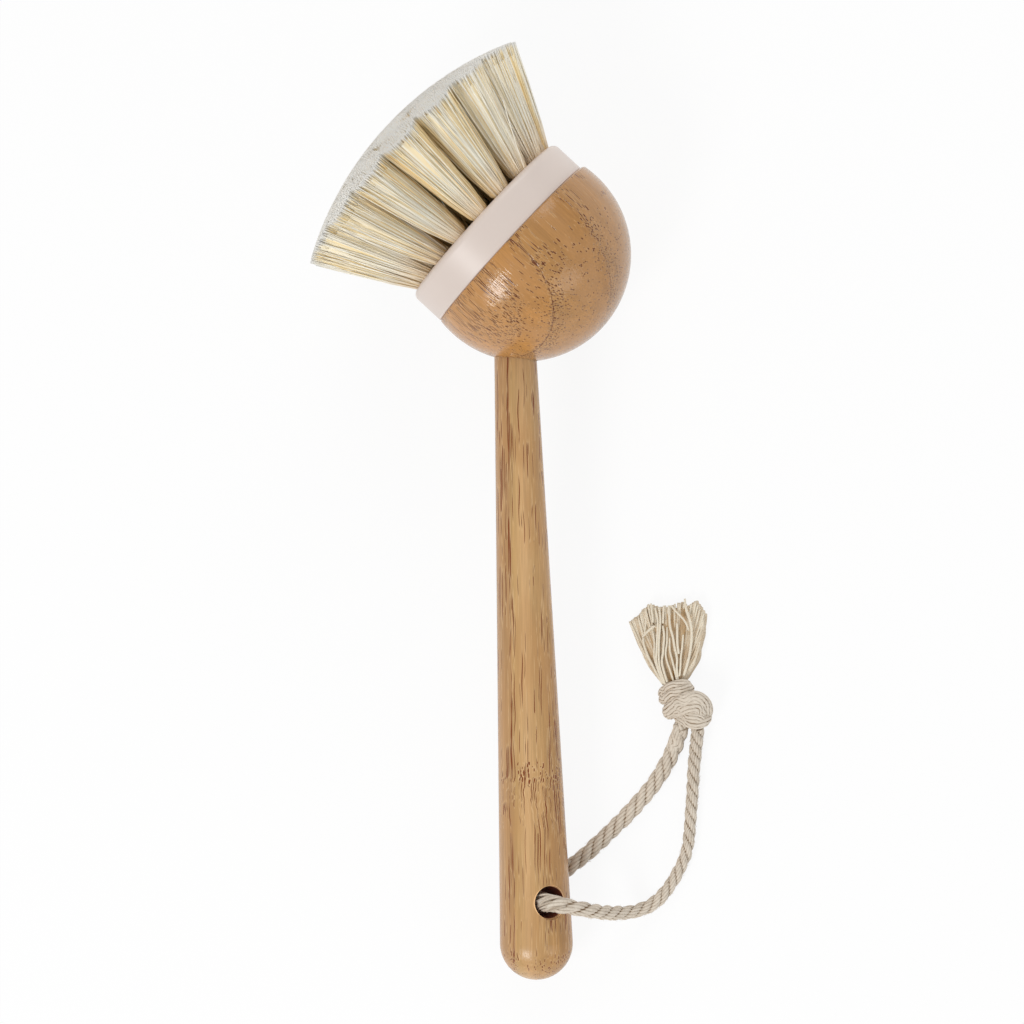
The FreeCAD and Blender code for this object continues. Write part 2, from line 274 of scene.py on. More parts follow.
def bundle_masks(tree, places, layers, bundle):
    """Masks of the vascular bundles and of the pale rims round them, which are partly the pale tissue round each
    bundle and partly a painted highlight, as of a groove's edge catching the light. Each layer is a Voronoi pattern,
    whose cells have a pitch and a length in millimetres. A cell shows its bundle if its lot is under the layer's
    share, and the bundle reaches from the cell's point by thin to thick parts of a cell."""
    masks = {"bundle": 0.0, "sheath_and_glint": 0.0}
    for pitch, length, share in layers:
        scale = (1 / (pitch * bundle["deep"][0]), 1 / (pitch * bundle["deep"][1]), 1 / length)
        cells = add_node(tree, "VectorMath", {0: places, 1: scale}, operation="MULTIPLY")
        nearest = add_node(tree, "TexVoronoi", {"Vector": cells, "Scale": 1.0})
        lot = add_node(tree, "SeparateColor", {0: nearest.outputs[1]})
        shown = add_node(tree, "Math", {0: lot.outputs[0], 1: share}, operation="LESS_THAN")
        width = add_node(tree, "MapRange", {0: lot.outputs[1], 3: bundle["thin"], 4: bundle["thick"]})
        inside = add_node(tree, "Math", {0: width, 1: nearest.outputs[0]}, operation="SUBTRACT")
        for key, low, high in (("bundle", -0.02, 0.07), ("sheath_and_glint", -0.18, -0.04)):
            found = add_node(tree, "MapRange", {0: inside, 1: low, 2: high})
            found = add_node(tree, "Math", {0: found, 1: shown}, operation="MULTIPLY")
            masks[key] = add_node(tree, "Math", {0: masks[key], 1: found}, operation="MAXIMUM")
    return masks["bundle"], masks["sheath_and_glint"]


def bamboo(name, grain, reach, tint, crowding, glue, bundle, belts, bore):
    """Bamboo, glued up from strips of the culm, turned and clear varnished. Pale fibres lie along the grain. The
    brown vascular bundles show as dashes along it and dots across it, and crowd where the culm's skin was. Thin
    dark lines mark the glue. The varnish leaves a tight highlight. Lengths are in millimetres, but the bundles'
    relief is in metres, and each glue line has a place, a half width and the fibre level under which it breaks."""
    material, tree, shader = new_material(name)
    places = grain_places(tree, *grain)
    across = add_node(tree, "SeparateXYZ", {0: places})
    noise = {}
    for key, (stretch, detail) in WOOD_PATTERNS.items():
        stretched = add_node(tree, "VectorMath", {0: places, 1: stretch}, operation="MULTIPLY")
        noise[key] = add_node(tree, "TexNoise", {"Vector": stretched, "Scale": 1.0, "Detail": detail})
    offset = add_node(tree, "MapRange", {0: across, 1: reach[0], 2: reach[1]})
    # Bundles sway a little along their length, and crowd or thin out in clusters
    sway = (bundle["sway"], bundle["sway"], 0.0)
    swayed = {0: noise["sway"].outputs[1], 1: sway, 2: places}
    swayed = add_node(tree, "VectorMath", swayed, operation="MULTIPLY_ADD")
    clusters = {0: noise["clusters"], 1: 0.38, 2: 0.6, 3: bundle["least"], 4: 1.35}
    clusters = add_node(tree, "MapRange", clusters)
    crowd = add_node(tree, "ValToRGB", {0: offset}, stops=stops_over(*reach, crowding))
    crowd = add_node(tree, "Math", {0: crowd, 1: clusters}, operation="MULTIPLY")
    flecked = []
    if belts:
        # A knuckle of the culm has two belts to the right of the glue: crowded bundles that wave, and short flecks
        strengths = []
        for belt in belts:
            spread = add_node(tree, "MapRange", {0: across.outputs[2], 1: belt[0][0], 2: belt[-1][0]})
            strengths.append(add_node(tree, "ValToRGB", {0: spread}, stops=stops_over(belt[0][0], belt[-1][0], belt)))
        waves = {0: noise["ragged"].outputs[1], 1: (1.2, 0.0, 0.0)}
        waves = add_node(tree, "VectorMath", waves, operation="MULTIPLY")
        waves = add_node(tree, "VectorMath", {0: waves, 1: strengths[0]}, operation="MULTIPLY")
        swayed = add_node(tree, "VectorMath", {0: swayed, 1: waves}, operation="ADD")
        right_of_glue = add_node(tree, "MapRange", {0: across, 1: 0.8, 2: 1.8})
        wavy, flecks = (
            add_node(tree, "Math", {0: strength, 1: right_of_glue}, operation="MULTIPLY") for strength in strengths
        )
        crowd = add_node(tree, "Math", {0: crowd, 1: wavy}, operation="ADD")
        flecked = [(FLECK_PITCH, FLECK_LENGTH, flecks)]
    layers = [(bundle["pitch"], bundle["length"], crowd), *flecked]
    dark, sheath_and_glint = bundle_masks(tree, swayed, layers, bundle)
    # Glue lines, a quarter to over half a millimetre wide where they are whole, and broken along their length
    swayed_offset = add_node(tree, "SeparateXYZ", {0: swayed})
    for plane, half_width, least in glue:
        aside = add_node(tree, "Math", {0: swayed_offset, 1: plane}, operation="SUBTRACT")
        aside = add_node(tree, "Math", {0: aside}, operation="ABSOLUTE")
        line = add_node(tree, "MapRange", {0: aside, 1: half_width, 2: half_width * 0.4})
        whole = add_node(tree, "MapRange", {0: noise["fibres"], 1: least, 2: least + 0.1})
        line = add_node(tree, "Math", {0: line, 1: whole}, operation="MULTIPLY")
        dark = add_node(tree, "Math", {0: dark, 1: line}, operation="MAXIMUM")
    # The tint across the grain: the strips' own tones, and on the handle also a band painted lighter as painted sheen
    # and an edge painted darker as painted shade
    body = add_node(tree, "ValToRGB", {0: offset}, stops=stops_over(*reach, tint))
    shade = 1.0
    for key, least, most in (("fibres", 0.88, 1.1), ("bands", 0.91, 1.09)):
        tone = add_node(tree, "MapRange", {0: noise[key], 1: 0.3, 2: 0.7, 3: least, 4: most})
        shade = add_node(tree, "Math", {0: shade, 1: tone}, operation="MULTIPLY")
    body = add_node(tree, "VectorMath", {0: body, 3: shade}, operation="SCALE")
    blotch = add_node(tree, "MapRange", {0: noise["blotches"], 1: 0.42, 2: 0.65, 3: 0.0, 4: 0.55})
    # The pale rims round the bundles, part real pale tissue and part painted highlight
    sheath_and_glint = add_node(tree, "Math", {0: sheath_and_glint, 1: bundle["sheath_and_glint"]}, operation="MULTIPLY")
    stain = add_node(tree, "Math", {0: dark, 1: bundle["strength"]}, operation="MULTIPLY")
    covers = [(blotch, bundle["blotch"]), (sheath_and_glint, SHEATH_AND_GLINT_COLOUR), (stain, bundle["brown"])]
    shader.inputs["Roughness"].default_value = bundle["roughness"]
    if bore:
        # Inside the drilled hole the wood is raw and rough, and painted dark as painted shade in the bore, and its
        # edge is painted pale as painted light on the chamfer round it
        from_axis = {0: grain_places(tree, *bore["frame"]), 1: (1.0, 1.0, 0.0)}
        from_axis = add_node(tree, "VectorMath", from_axis, operation="MULTIPLY")
        from_axis = add_node(tree, "VectorMath", {0: from_axis}, operation="LENGTH").outputs[1]
        for radius, soft, sheet in ((bore["edge"], 0.06, BORE_EDGE_LIGHT_COLOUR), (bore["radius"], 0.04, BORE_SHADE_COLOUR)):
            cover = add_node(tree, "MapRange", {0: from_axis, 1: radius + soft, 2: radius})
            covers.append((cover, sheet))
        rough = add_node(tree, "MapRange", {0: cover, 3: bundle["roughness"], 4: 0.95})
        tree.links.new(rough.outputs[0], shader.inputs["Roughness"])
    for cover, sheet in covers:
        body = add_node(tree, "Mix", {0: cover, 6: body, 7: colour(sheet)}, data_type="RGBA").outputs[2]
    tree.links.new(body, shader.inputs["Base Color"])
    height = add_node(tree, "Math", {0: dark, 1: -1.0, 2: noise["fibres"]}, operation="MULTIPLY_ADD")
    bump = add_node(tree, "Bump", {"Strength": 0.9, "Distance": bundle["relief"], "Height": height})
    tree.links.new(bump.outputs[0], shader.inputs["Normal"])
    shader.inputs["IOR"].default_value = 1.5
    shader.inputs["Specular IOR Level"].default_value = bundle["shine"]
    return material


# The hanging hole, repeated from the part's source: its axis, a direction square to it, and its middle
HOLE_TURN = math.radians(26.5)
HOLE_DIRECTION = np.array((math.sin(HOLE_TURN), 0.0, math.cos(HOLE_TURN)))
HOLE_SIDE = np.array((math.cos(HOLE_TURN), 0.0, -math.sin(HOLE_TURN)))
HOLE_MIDDLE = np.array((0.0, 11.54, 0.0))

# The handle's grain runs nearly straight up the photograph, from a glue line left of its middle
GRAIN_TURN = math.radians(1.38)
handle_bamboo = bamboo(
    "handle_bamboo_varnished",
    (
        (math.cos(GRAIN_TURN), -math.sin(GRAIN_TURN), 0.0),
        -SQUARE,
        (math.sin(GRAIN_TURN), math.cos(GRAIN_TURN), 0.0),
        (-4.09, 65.17, 0.0),
    ),
    (-13.0, 13.0),
    # Tint across the handle: the strips' own tones, with a band painted lighter about 3.6 mm right of the glue line
    # as a painted sheen, and the right edge painted darker as painted shade
    [(-13, "#B98D5F"), (-0.6, "#BC9264"), (0.6, "#BF9965"), (3.6, "#CCA474"), (6.0, "#BE9766"),
     (13, "#B0834F")],
    [
        (-13, 0.25), (-3.4, 0.4), (-2.4, 0.75), (-0.9, 0.85), (-0.6, 1.0), (0.6, 1.0), (1.0, 0.14),
        (2.4, 0.26), (4.0, 0.44), (7.0, 0.5), (9.0, 0.7), (13, 0.65),
    ],
    [(0.0, 0.3, 0.47)],
    {
        "pitch": 0.31,
        "deep": (1.0, 2.0),
        "length": 27.0,
        "thin": 0.2,
        "thick": 0.47,
        "brown": "#7A3200",
        "least": 0.35,
        "sway": 0.7,
        "strength": 0.95,
        "sheath_and_glint": 0.45,
        "blotch": "#B98A58",
        "roughness": 0.22,
        "relief": 0.00011,
        "shine": 0.38,
    },
    [
        [(-34.0, 0.0), (-31.0, 0.5), (-24.0, 0.9), (-21.5, 0.6), (-20.0, 0.0)],
        [(-23.0, 0.0), (-21.5, 1.0), (-17.5, 1.0), (-15.5, 0.0)],
    ],
    {
        "frame": (HOLE_SIDE, np.array((0.0, 1.0, 0.0)), HOLE_DIRECTION, HOLE_MIDDLE),
        "radius": 4.24,
        "edge": 4.52,
    },
)

# The ball's grain runs along the head's axis, and its strips are glued on planes askew to the floor
ball_bamboo = bamboo(
    "ball_bamboo_laminated_varnished",
    (ACROSS * -0.718 + SQUARE * 0.696, ACROSS * 0.696 + SQUARE * 0.718, LEAN, BALL_CENTRE),
    (-30.0, 30.0),
    [(-30, "#B08352"), (4.1, "#B08250"), (4.4, "#B28048"), (20.4, "#B2834D"), (20.7, "#BA8549"),
     (30, "#BE8A53")],
    [
        (-30, 0.15), (-12, 0.15), (-6, 0.2), (-2, 0.3), (0.5, 0.5), (2.0, 0.95), (4.5, 0.95), (5.2, 0.25),
        (8, 0.18), (15, 0.18), (17.4, 0.4), (18.2, 1.0), (20.8, 1.0), (21.2, 0.25), (24.6, 0.3),
        (25.9, 1.0), (30, 1.0),
    ],
    [(20.55, 0.16, 0.45), (4.3, 0.12, 0.5)],
    {
        "pitch": 0.27,
        "deep": (1.7, 1.0),
        "length": 23.0,
        "thin": 0.18,
        "thick": 0.54,
        "brown": "#642A02",
        "least": 0.6,
        "sway": 0.5,
        "strength": 0.95,
        "sheath_and_glint": 0.3,
        "blotch": "#B98A5A",
        "roughness": 0.12,
        "relief": 0.0001,
        "shine": 0.5,
    },
    [],
    None,
)


def moulded_polypropylene():
    """Polypropylene, injection moulded with a fine spark-eroded skin: pale, even, with a soft wide sheen."""
    material, tree, shader = new_material("block_polypropylene_moulded")
    places = add_node(tree, "TexCoord").outputs["Object"]
    # Skin 0.25 mm fine, and a faint cloud 20 mm wide
    skin = add_node(tree, "TexNoise", {"Vector": places, "Scale": 4000.0, "Detail": 2.0})
    cloud = add_node(tree, "TexNoise", {"Vector": places, "Scale": 50.0, "Detail": 1.0})
    tint = add_node(tree, "ValToRGB", {0: cloud}, stops=[(0.3, "#DACCC3"), (0.7, "#DDCFC6")])
    tree.links.new(tint.outputs[0], shader.inputs["Base Color"])
    bump = add_node(tree, "Bump", {"Strength": 0.1, "Distance": 0.00002, "Height": skin})
    tree.links.new(bump.outputs[0], shader.inputs["Normal"])
    shader.inputs["Roughness"].default_value = 0.36
    shader.inputs["IOR"].default_value = 1.49
    return material


def plant_bristle():
    """Tampico plant fibre, cut and combed: waxy cream strands, some golden, painted deeper in colour near the hole as
    painted shade, and painted whiter at the cut as painted light."""
    material, tree, shader = new_material("bristle_plant_fibre")
    tone = add_node(tree, "Attribute", attribute_name="tone").outputs["Fac"]
    along = add_node(tree, "Attribute", attribute_name="along").outputs["Fac"]
    strand = add_node(
        tree,
        "ValToRGB",
        {0: tone},
        stops=[(0.0, "#C98F3C"), (0.3, "#F5D394"), (0.6, "#FBE5B4"), (0.85, "#FDF0D0"), (1.0, "#FFFAEC")],
    )
    body = strand.outputs[0]
    # Painted shade near the hole, golden over the first 0.4 of a strand, and painted light at the cut, near white
    # over the last part
    for low, high, least, most, sheet in ((0.0, 0.4, 0.45, 0.0, "#E0AA4C"), (0.95, 0.995, 0.0, 0.85, "#F5F4F1")):
        cover = add_node(tree, "MapRange", {0: along, 1: low, 2: high, 3: least, 4: most})
        body = add_node(tree, "Mix", {0: cover, 6: body, 7: colour(sheet)}, data_type="RGBA").outputs[2]
    tree.links.new(body, shader.inputs["Base Color"])
    shader.inputs["Roughness"].default_value = 0.45
    shader.inputs["IOR"].default_value = 1.5
    shader.inputs["Specular IOR Level"].default_value = 0.08
    return material


def spun_cotton(name, light, dark):
    """Cotton, spun and undyed: matt cream yarns with a soft nap, and brown painted shade down in the grooves."""
    material, tree, shader = new_material(name)
    places = add_node(tree, "TexCoord").outputs["Object"]
    groove = add_node(tree, "Attribute", attribute_name="groove").outputs["Fac"]
    # Fibres 0.15 mm thick, drawn as soft specks since single ones are too fine to show
    fibre = add_node(tree, "TexNoise", {"Vector": places, "Scale": 2600.0, "Detail": 3.0})
    patch = add_node(tree, "TexNoise", {"Vector": places, "Scale": 350.0, "Detail": 1.0})
    # Painted shade: the groove mark darkens the cotton towards the dark colour, over the fibres' specks and faint
    # patches
    speckle_and_painted_shade = add_node(tree, "Math", {0: fibre, 1: 0.5, 2: groove}, operation="MULTIPLY_ADD")
    speckle_and_painted_shade = add_node(tree, "Math", {0: patch, 1: 0.4, 2: speckle_and_painted_shade}, operation="MULTIPLY_ADD")
    speckle_and_painted_shade = add_node(tree, "MapRange", {0: speckle_and_painted_shade, 1: 0.38, 2: 1.35})
    body = add_node(tree, "Mix", {0: speckle_and_painted_shade, 6: colour(light), 7: colour(dark)}, data_type="RGBA").outputs[2]
    tree.links.new(body, shader.inputs["Base Color"])
    bump = add_node(tree, "Bump", {"Strength": 0.5, "Distance": 0.00008, "Height": fibre})
    tree.links.new(bump.outputs[0], shader.inputs["Normal"])
    shader.inputs["Roughness"].default_value = 0.85
    shader.inputs["Sheen Weight"].default_value = 0.1
    shader.inputs["Sheen Roughness"].default_value = 0.5
    return material


def drawn_steel():
    """Galvanised steel wire, drawn: grey, with fine lines along the draw."""
    material, tree, shader = new_material("staple_steel_drawn")
    places = add_node(tree, "TexCoord").outputs["Object"]
    lines = add_node(tree, "TexNoise", {"Vector": places, "Scale": 2500.0})
    tint = add_node(tree, "ValToRGB", {0: lines}, stops=[(0.3, "#8E8F90"), (0.7, "#B5B6B7")])
    tree.links.new(tint.outputs[0], shader.inputs["Base Color"])
    shader.inputs["Metallic"].default_value = 1.0
    shader.inputs["Roughness"].default_value = 0.35
    return material


# ---- The hanging cord

CORD_ROUTE = [
    (54.1, -57.8, 4.4), (53.4, -61.2, 3.0), (52.7, -65.2, 2.0), (52.1, -70.8, 2.0),
    (51.6, -77.6, 2.0), (50.9, -84.4, 2.0), (50.3, -90.2, 2.0), (47.9, -95.8, 2.0),
    (44.5, -101.2, 2.0), (40.4, -105.2, 2.1), (35.6, -106.9, 4.2), (31.6, -107.1, 9.2),
    (28.2, -106.6, 14.8), (25.0, -105.7, 19.4), (21.9, -104.9, 22.4), (18.2, -104.2, 22.9),
    (15.3, -103.8, 20.7), (12.2, -103.5, 16.6), (9.1, -103.1, 12.1), (5.7, -102.5, 7.1),
    (5.7, -101.2, 4.0), (7.7, -99.6, 2.0), (11.8, -97.8, 2.0), (17.8, -94.8, 2.0),
    (24.0, -89.9, 2.0), (30.2, -84.3, 2.0), (36.0, -78.8, 2.0), (41.2, -73.0, 2.0),
    (44.9, -67.4, 2.0), (47.0, -63.2, 2.0), (48.5, -60.1, 2.9), (49.6, -57.4, 4.1),
]
CORD_STATIONS = 430
STRANDS = 3
YARNS_IN_STRAND = 7


def wavering(stations, amount, knots, seed):
    """Values around 0 that change smoothly along a piece: straight runs between seeded random knots, eased."""
    values = np.random.default_rng(seed).uniform(-amount, amount, knots)
    at = np.linspace(0, knots - 1, stations)
    low = np.minimum(at.astype(int), knots - 2)
    part = at - low
    part = part * part * (3 - 2 * part)
    return values[low] * (1 - part) + values[low + 1] * part


def rope(line, radius, lay, sides):
    """Strands laid left-handed: strand k's middle circles the line at about 0.45 of the cord's radius, by the angle
    2 pi k / 3 less 2 pi times the turns so far. Its own radius swells over each of its yarns, which twist back."""
    steady = steady_direction(line)
    step = np.linalg.norm(np.diff(line, axis=0), axis=1)
    turns = np.concatenate(([0.0], np.cumsum(step / ((lay[1:] + lay[:-1]) / 2))))
    normal, binormal = frames_along(line, steady)[1:]
    angle = 2 * math.pi * (np.arange(STRANDS)[:, None] / STRANDS - turns)
    uneven = np.stack([wavering(len(line), 0.05, 90, 20 + strand) for strand in range(STRANDS)])
    middle = radius * (0.45 + uneven)
    paths = line + middle[..., None] * (np.cos(angle)[..., None] * normal + np.sin(angle)[..., None] * binormal)
    around = np.arange(sides) * (2 * math.pi / sides)
    yarn_angle = YARNS_IN_STRAND / 2 * (around - 2 * math.pi * turns[:, None])
    furrow = 1 - np.abs(np.cos(yarn_angle))
    strand_radius = radius[:, None] * 0.6 * (1.03 - 0.16 * furrow)
    points, faces, marks = tubes(paths, strand_radius[None], sides, steady, {"groove": 0.0})
    shaped = points.reshape(STRANDS, len(line), sides, 3)
    # Painted shade: the mark darkens the cotton where the surface lies deep between the strands and in the furrows
    # between the yarns
    out = np.linalg.norm(shaped - line[:, None], axis=-1) / radius[:, None]
    marks["groove"] = (np.clip((0.88 - out) / 0.16, 0, 1) * 0.9 + 0.6 * furrow**3).reshape(-1)
    points[:, 2] = np.maximum(points[:, 2], 0.02)
    return points, faces, marks


def loose_fibres(line, radius, count, seed):
    """Short fibres that stand off a cord: each starts on its side, runs back or forth along it for about a
    millimetre, and lifts off by a parabola."""
    draw = np.random.default_rng(seed)
    tangent, normal, binormal = frames_along(line, steady_direction(line))
    at = draw.integers(4, len(line) - 4, count)
    turn = draw.uniform(0, 2 * math.pi, count)
    out = np.cos(turn)[:, None] * normal[at] + np.sin(turn)[:, None] * binormal[at]
    run = draw.uniform(0.7, 1.9, count) * draw.choice((-1.0, 1.0), count)
    lift = draw.uniform(0.1, 0.6, count)
    t = np.linspace(0, 1, 4)
    along = (run[:, None] * t)[..., None] * tangent[at][:, None]
    rise = (radius[at][:, None] * 0.9 + lift[:, None] * t**2)[..., None] * out[:, None]
    paths = line[at][:, None] + along + rise
    paths[..., 2] = np.maximum(paths[..., 2], 0.06)
    return tubes(paths, 0.035, 3, steady_direction(paths), {"groove": -0.1})


def parted_yarns(line, radius, first, last, count, seed):
    """Yarns that part where the cord enters the hole: yarn k winds round the line from angle 2 pi k / count, and
    stands off it by 0.82 of the cord's radius at its first station and by 1.25 of it at its last, with a wave."""
    draw = np.random.default_rng(seed)
    stretch = line[first:last:2]
    share = np.linspace(0, 1, len(stretch))
    normal, binormal = frames_along(stretch, steady_direction(line))[1:]
    start = (np.arange(count)[:, None] + draw.uniform(-0.3, 0.3, (count, 1))) * (2 * math.pi / count)
    wave = np.sin(2 * math.pi * (draw.uniform(0.8, 1.6, (count, 1)) * share + draw.uniform(0, 1, (count, 1))))
    angle = start - 2.4 * share + 0.25 * wave
    out = radius[first:last:2] * (np.interp(share, (0, 0.3, 1), (0.82, 0.98, 1.25)) + 0.06 * wave)
    paths = stretch + out[..., None] * (np.cos(angle)[..., None] * normal + np.sin(angle)[..., None] * binormal)
    thick = np.interp(share, (0, 0.15, 1), (0.2, 0.34, 0.3))[None, :, None]
    # Each yarn's own tone, and one side of it painted darker and the other paler, as painted shade round the yarn
    tone = draw.uniform(-0.1, 0.35, (count, 1, 1)) + 0.15 * np.cos(np.arange(6) * math.pi / 3)
    return tubes(paths, thick, 6, steady_direction(paths), {"groove": tone})


cotton = spun_cotton("cord_cotton_laid", "#DDD2C2", "#795B34")
cord_line = smooth_line(CORD_ROUTE, CORD_STATIONS)
cord_share = np.linspace(0, 1, CORD_STATIONS)
# The front leg is laid harder and is thinner, and the cord opens a little where it crosses the rim of the hole
cord_width = np.interp(
    cord_share,
    (0.0, 0.1, 0.22, 0.3, 0.45, 0.5, 0.56, 0.62, 0.75, 1.0),
    (1.75, 1.62, 1.58, 1.75, 2.0, 2.15, 1.9, 1.9, 2.06, 2.08),
)
cord_lay = np.interp(cord_share, (0.0, 0.25, 0.4, 0.5, 0.7, 1.0), (10.2, 10.2, 12.0, 18.0, 12.4, 12.4))
rim_station = int(np.linalg.norm(cord_line - np.array((16.2, -104.0, 21.4)), axis=1).argmin())
hanging_cord = make_piece(
    "hanging_cord_rope",
    [
        rope(cord_line, cord_width, cord_lay, 42),
        loose_fibres(cord_line, cord_width, 900, 31),
        parted_yarns(cord_line, cord_width, rim_station - 14, rim_station + 26, 20, 33),
    ],
    cotton,
)


# ---- Knot and tassel

def bundle_turn(control_points, radius, yarns, twist, seed, stations=72, sides=72):
    """A turn of loose yarns: a tube along a smooth line, whose radius swells over each yarn and closes at its ends
    as sqrt(1 - |2 s - 1|^10), and whose yarns wind round it by the given number of turns and vary in depth."""
    line = smooth_line(control_points, stations)
    share = np.linspace(0, 1, stations)
    closing = np.sqrt(np.clip(1 - (np.abs(share - 0.5) * 2) ** 10, 0.02, 1))
    around = np.arange(sides) * (2 * math.pi / sides)
    drift = wavering(stations, 0.45, 11, seed)
    yarn_angle = yarns / 2 * (around + drift[:, None] - 2 * math.pi * twist * share[:, None])
    furrow = 1 - np.abs(np.cos(yarn_angle))
    depth = np.stack([wavering(stations, 0.5, 14, seed + 1 + side % 9) for side in range(sides)], 1) + 0.5
    swell = (1.0 - 0.11 * furrow * (0.5 + depth)) * closing[:, None] * radius
    # Painted shade: the furrows between the yarns are painted darker, the more so where they lie deeper
    groove = furrow**3 * (0.2 + 1.6 * depth) - 0.08
    return tubes(line[None], swell[None], sides, steady_direction(line), {"groove": groove[None]})


# Each turn: its line, radius, number of yarns, and how far they wind round it
KNOT_TURNS = [
    # The collar's upper and lower turns, rising from lower left to upper right round the tassel's neck
    ([(44.3, -48.9, 2.0), (44.1, -48.6, 3.6), (45.9, -47.3, 5.8), (48.6, -46.5, 7.0), (50.9, -46.1, 6.6),
      (51.6, -46.5, 4.6), (51.0, -47.0, 2.2)], 1.35, 8, 0.2),
    ([(44.9, -50.6, 1.9), (44.4, -50.1, 3.4), (45.5, -50.0, 5.6), (47.8, -49.1, 7.4), (50.2, -48.0, 7.8),
      (52.0, -47.2, 6.0), (52.4, -47.6, 3.6)], 1.45, 8, 0.2),
    # The main turn, from the small loop at the left over the top and down the right side
    ([(47.5, -54.6, 2.2), (46.2, -53.8, 3.0), (46.6, -52.9, 5.2), (49.3, -51.6, 7.4), (52.3, -50.3, 8.9),
      (54.9, -50.2, 8.9), (56.4, -51.6, 7.0), (56.4, -53.6, 4.4), (55.4, -55.0, 2.6)], 2.15, 12, 0.25),
    ([(47.9, -53.9, 4.6), (50.8, -53.0, 7.6), (53.6, -52.2, 9.2), (55.4, -52.8, 8.2),
      (55.6, -54.3, 5.8)], 2.0, 11, 0.2),
    # The two turns across the bottom, above the legs
    ([(48.8, -54.2, 2.6), (49.0, -54.8, 4.0), (50.8, -55.4, 6.0), (52.9, -56.4, 7.0), (54.8, -56.6, 6.6),
      (56.1, -55.7, 4.9), (56.3, -54.1, 3.2)], 1.95, 11, 0.2),
    ([(49.8, -53.7, 5.4), (52.2, -54.6, 7.9), (54.4, -55.2, 8.1), (55.9, -54.6, 6.4)], 1.75, 10, 0.15),
    # Where the back leg goes in, and what fills the middle
    ([(46.2, -64.4, 2.2), (47.7, -61.4, 2.5), (49.0, -58.4, 3.4), (50.2, -55.6, 4.2)], 2.05, 8, -0.4),
    ([(49.0, -52.8, 4.2), (51.8, -53.0, 4.7), (54.4, -53.4, 4.4)], 4.0, 14, 0.1),
]

knot_turns = [bundle_turn(*turn, 40 + 12 * index) for index, turn in enumerate(KNOT_TURNS)]
cord_knot = make_piece("cord_knot_turns", knot_turns, cotton)

TASSEL_EDGE = [
    (38.3, -33.3), (35.4, -28.9), (37.8, -26.9), (40.8, -24.0), (42.5, -24.8), (46.9, -24.8), (50.3, -23.6),
    (51.7, -25.0), (53.9, -23.6), (56.1, -27.2), (55.6, -31.9), (53.9, -36.4),
]
TASSEL_NECK = ((44.9, -46.2), (50.2, -45.0))


def flat_yarns(lines, radius, sides, tone, draw):
    """Yarns along given lines, thinner at the neck end and the cut end, with their own tone and a crown painted
    paler, as painted light from above.
    """
    count, stations = lines.shape[:2]
    t = np.linspace(0, 1, stations)[:, None]
    thick = radius * draw.uniform(0.85, 1.15, (count, 1, 1)) * np.interp(t, (0, 0.1, 0.95, 1), (0.8, 1, 1.05, 0.9))
    around = np.arange(sides) * (2 * math.pi / sides)
    # Painted light and shade: each yarn is painted paler on top and darker underneath
    shade = tone - 0.12 * np.cos(around) + draw.uniform(-0.12, 0.12, (count, 1, 1))
    return tubes(lines, thick, sides, np.array((0.0, 0.0, 1.0)), {"groove": shade})


def tassel_layer(count, radius, low, high, tone, painted_neck_shade, seed):
    """Yarns from the neck to the tassel's jagged edge: share f picks a place across both, t runs from 0 to 1, and the
    line is neck(f) (1 - t) + edge(f) t, bowed outwards and waved sideways. Towards the neck and the middle the tone
    is painted darker, by up to the given amount, as painted shade."""
    draw = np.random.default_rng(seed)
    share = (np.arange(count) + draw.uniform(0.1, 0.9, count)) / count
    edge = np.array(TASSEL_EDGE)
    along_edge = np.concatenate(([0.0], np.cumsum(np.linalg.norm(np.diff(edge, axis=0), axis=1))))
    tip = np.stack([np.interp(share * along_edge[-1], along_edge, edge[:, axis]) for axis in (0, 1)], -1)
    neck = np.array(TASSEL_NECK[0]) + share[:, None] * np.subtract(TASSEL_NECK[1], TASSEL_NECK[0])
    t = np.linspace(0, draw.uniform(0.975, 1.0, count), 22, axis=1)
    path = neck[:, None] * (1 - t[..., None]) + tip[:, None] * t[..., None]
    bow = np.sin(math.pi * t) * (share - 0.5)[:, None] * 2.4
    phase = draw.uniform(0, 2 * math.pi, (count, 1))
    wave = np.sin(2 * math.pi * draw.uniform(1.0, 2.2, (count, 1)) * t + phase) * 0.22 * np.sin(math.pi * t)
    level = draw.uniform(0, 1, (count, 1)) * (1 - 0.5 * np.abs(share - 0.5)[:, None])
    height = (low[0] + (high[0] - low[0]) * level) * (1 - t) + (low[1] + (high[1] - low[1]) * level) * t
    lines = np.dstack((path[..., 0] + bow + wave, path[..., 1], height))
    middle = 1 - np.abs(share - 0.5)[:, None, None] * 2
    # Painted shade, darker towards the neck and the middle
    shade = tone + painted_neck_shade * middle**0.7 * np.clip(1.15 - 1.3 * t, 0, 1)[..., None]
    return flat_yarns(lines, radius, 8, shade, draw)


